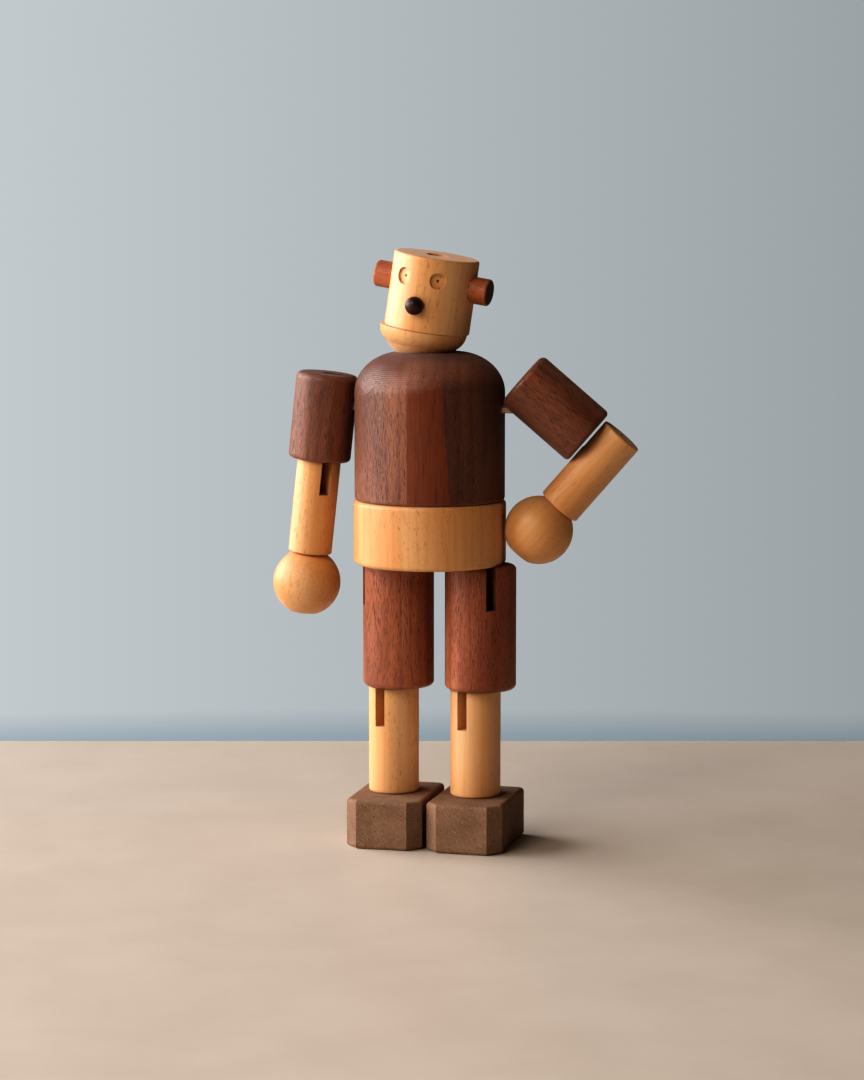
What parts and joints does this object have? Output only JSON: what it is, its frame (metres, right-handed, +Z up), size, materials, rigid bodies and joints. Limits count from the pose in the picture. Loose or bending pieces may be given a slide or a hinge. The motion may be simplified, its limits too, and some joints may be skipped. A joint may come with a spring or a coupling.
{
  "type": "jointed wooden toy figure",
  "caption": "Posable wooden toy figure with a barrel head, drum body, dowel limbs, ball hands and block feet, strung on elastic.",
  "frame": {"origin": "middle of the outer box, on the floor under the soles", "axes": "+Z up, the figure faces -Y, its left hand is towards +X"},
  "size_m": [0.1482, 0.061, 0.2382],
  "materials": {
    "beech": "satin oiled",
    "walnut": "satin oiled",
    "red_walnut": "satin oiled",
    "red_wood": "satin oiled",
    "foot_wood": "matte, speckled",
    "nose_lacquer": "gloss lacquer",
    "elastic": "woven elastic cord"
  },
  "bodies": {
    "torso": {"torso": "walnut", "torso_pin": "beech", "arm_strand": "elastic"},
    "hips": {"hips": "beech", "hips_pin": "beech", "waist_strand": "elastic", "hips_strand_right": "elastic", "hips_strand_left": "elastic"},
    "neck_strand": {"neck_strand": "elastic"},
    "jaw": {"jaw": "beech"},
    "head": {"head": "beech", "nose": "nose_lacquer", "ear_right": "red_wood", "ear_left": "red_wood", "head_strand": "elastic", "head_knot": "elastic"},
    "shoulder_strand_right": {"shoulder_strand_right": "elastic"},
    "upper_arm_right": {"upper_arm_right": "walnut", "upper_arm_strand_right": "elastic"},
    "forearm_strand_right": {"forearm_strand_right": "elastic", "hand_knot_right": "elastic"},
    "forearm_right": {"forearm_right": "beech"},
    "hand_right": {"hand_right": "beech"},
    "thigh_right": {"thigh_right": "red_walnut", "thigh_strand_right": "elastic"},
    "shin_right": {"shin_right": "beech", "shin_strand_right": "elastic", "foot_knot_right": "elastic"},
    "foot_right": {"foot_right": "foot_wood"},
    "shoulder_strand_left": {"shoulder_strand_left": "elastic"},
    "upper_arm_left": {"upper_arm_left": "walnut", "upper_arm_strand_left": "elastic"},
    "forearm_strand_left": {"forearm_strand_left": "elastic", "hand_knot_left": "elastic"},
    "forearm_left": {"forearm_left": "beech"},
    "hand_left": {"hand_left": "beech"},
    "thigh_left": {"thigh_left": "red_walnut", "thigh_strand_left": "elastic"},
    "shin_left": {"shin_left": "beech", "shin_strand_left": "elastic", "foot_knot_left": "elastic"},
    "foot_left": {"foot_left": "foot_wood"}
  },
  "joints": [
    {"name": "waist_turn", "type": "hinge", "parent": "torso", "child": "hips", "pos_m": [-0.00894, 0, 0.1386], "axis": [0, 0, 1], "continuous": true},
    {"name": "neck_turn", "type": "hinge", "parent": "torso", "child": "neck_strand", "pos_m": [-0.01068, -0.00047, 0.2109], "axis": [0, 0, 1], "continuous": true},
    {"name": "neck_tilt", "type": "hinge", "parent": "neck_strand", "child": "jaw", "pos_m": [-0.01068, -0.00047, 0.2109], "axis": [0, 1, 0], "range_deg": [-20, 4]},
    {"name": "head_turn", "type": "hinge", "parent": "jaw", "child": "head", "pos_m": [-0.00961, 0.00024, 0.2109], "axis": [0.1546, -0.0277, 0.9876], "continuous": true},
    {"name": "shoulder_swing_right", "type": "hinge", "parent": "torso", "child": "shoulder_strand_right", "pos_m": [-0.03894, 0, 0.1752], "axis": [1, 0, 0], "continuous": true},
    {"name": "shoulder_raise_right", "type": "hinge", "parent": "shoulder_strand_right", "child": "upper_arm_right", "pos_m": [-0.05559, 0, 0.1848], "axis": [0, 1, 0], "range_deg": [0, 45]},
    {"name": "elbow_fold_right", "type": "hinge", "parent": "upper_arm_right", "child": "forearm_strand_right", "pos_m": [-0.05604, 0, 0.14416], "axis": [-0.994, 0, 0.1097], "range_deg": [0, 90]},
    {"name": "forearm_turn_right", "type": "hinge", "parent": "forearm_strand_right", "child": "forearm_right", "pos_m": [-0.05604, 0, 0.14416], "axis": [-0.1097, 0, -0.994], "continuous": true},
    {"name": "hand_turn_right", "type": "hinge", "parent": "forearm_right", "child": "hand_right", "pos_m": [-0.05933, 0, 0.11434], "axis": [-0.1097, 0, -0.994], "continuous": true},
    {"name": "hip_fold_right", "type": "hinge", "parent": "hips", "child": "thigh_right", "pos_m": [-0.02194, -0.01225, 0.111], "axis": [-1, 0, 0], "range_deg": [0, 90]},
    {"name": "knee_fold_right", "type": "hinge", "parent": "thigh_right", "child": "shin_right", "pos_m": [-0.02394, 0, 0.0524], "axis": [1, 0, 0], "range_deg": [0, 90]},
    {"name": "foot_turn_right", "type": "hinge", "parent": "shin_right", "child": "foot_right", "pos_m": [-0.02394, 0, 0.0196], "axis": [0, 0, 1], "range_deg": [-7, 4]},
    {"name": "shoulder_swing_left", "type": "hinge", "parent": "torso", "child": "shoulder_strand_left", "pos_m": [0.02106, 0, 0.1752], "axis": [1, 0, 0], "continuous": true},
    {"name": "shoulder_raise_left", "type": "hinge", "parent": "shoulder_strand_left", "child": "upper_arm_left", "pos_m": [0.0377, 0.00234, 0.178], "axis": [0.1392, -0.9903, 0], "range_deg": [0, 40]},
    {"name": "elbow_fold_left", "type": "hinge", "parent": "upper_arm_left", "child": "forearm_strand_left", "pos_m": [0.06169, 0.00571, 0.15827], "axis": [-0.1392, 0.9903, 0], "range_deg": [-90, 0]},
    {"name": "forearm_turn_left", "type": "hinge", "parent": "forearm_strand_left", "child": "forearm_left", "pos_m": [0.06169, 0.00571, 0.15827], "axis": [-0.6458, -0.0908, -0.7581], "continuous": true},
    {"name": "hand_turn_left", "type": "hinge", "parent": "forearm_left", "child": "hand_left", "pos_m": [0.04232, 0.00299, 0.13553], "axis": [-0.6458, -0.0908, -0.7581], "continuous": true},
    {"name": "hip_fold_left", "type": "hinge", "parent": "hips", "child": "thigh_left", "pos_m": [0.01206, -0.01225, 0.111], "axis": [-1, 0, 0], "range_deg": [0, 90]},
    {"name": "knee_fold_left", "type": "hinge", "parent": "thigh_left", "child": "shin_left", "pos_m": [0.01006, 0, 0.0524], "axis": [1, 0, 0], "range_deg": [0, 90]},
    {"name": "foot_turn_left", "type": "hinge", "parent": "shin_left", "child": "foot_left", "pos_m": [0.01006, 0, 0.0196], "axis": [0, 0, 1], "range_deg": [-4, 7]}
  ]
}
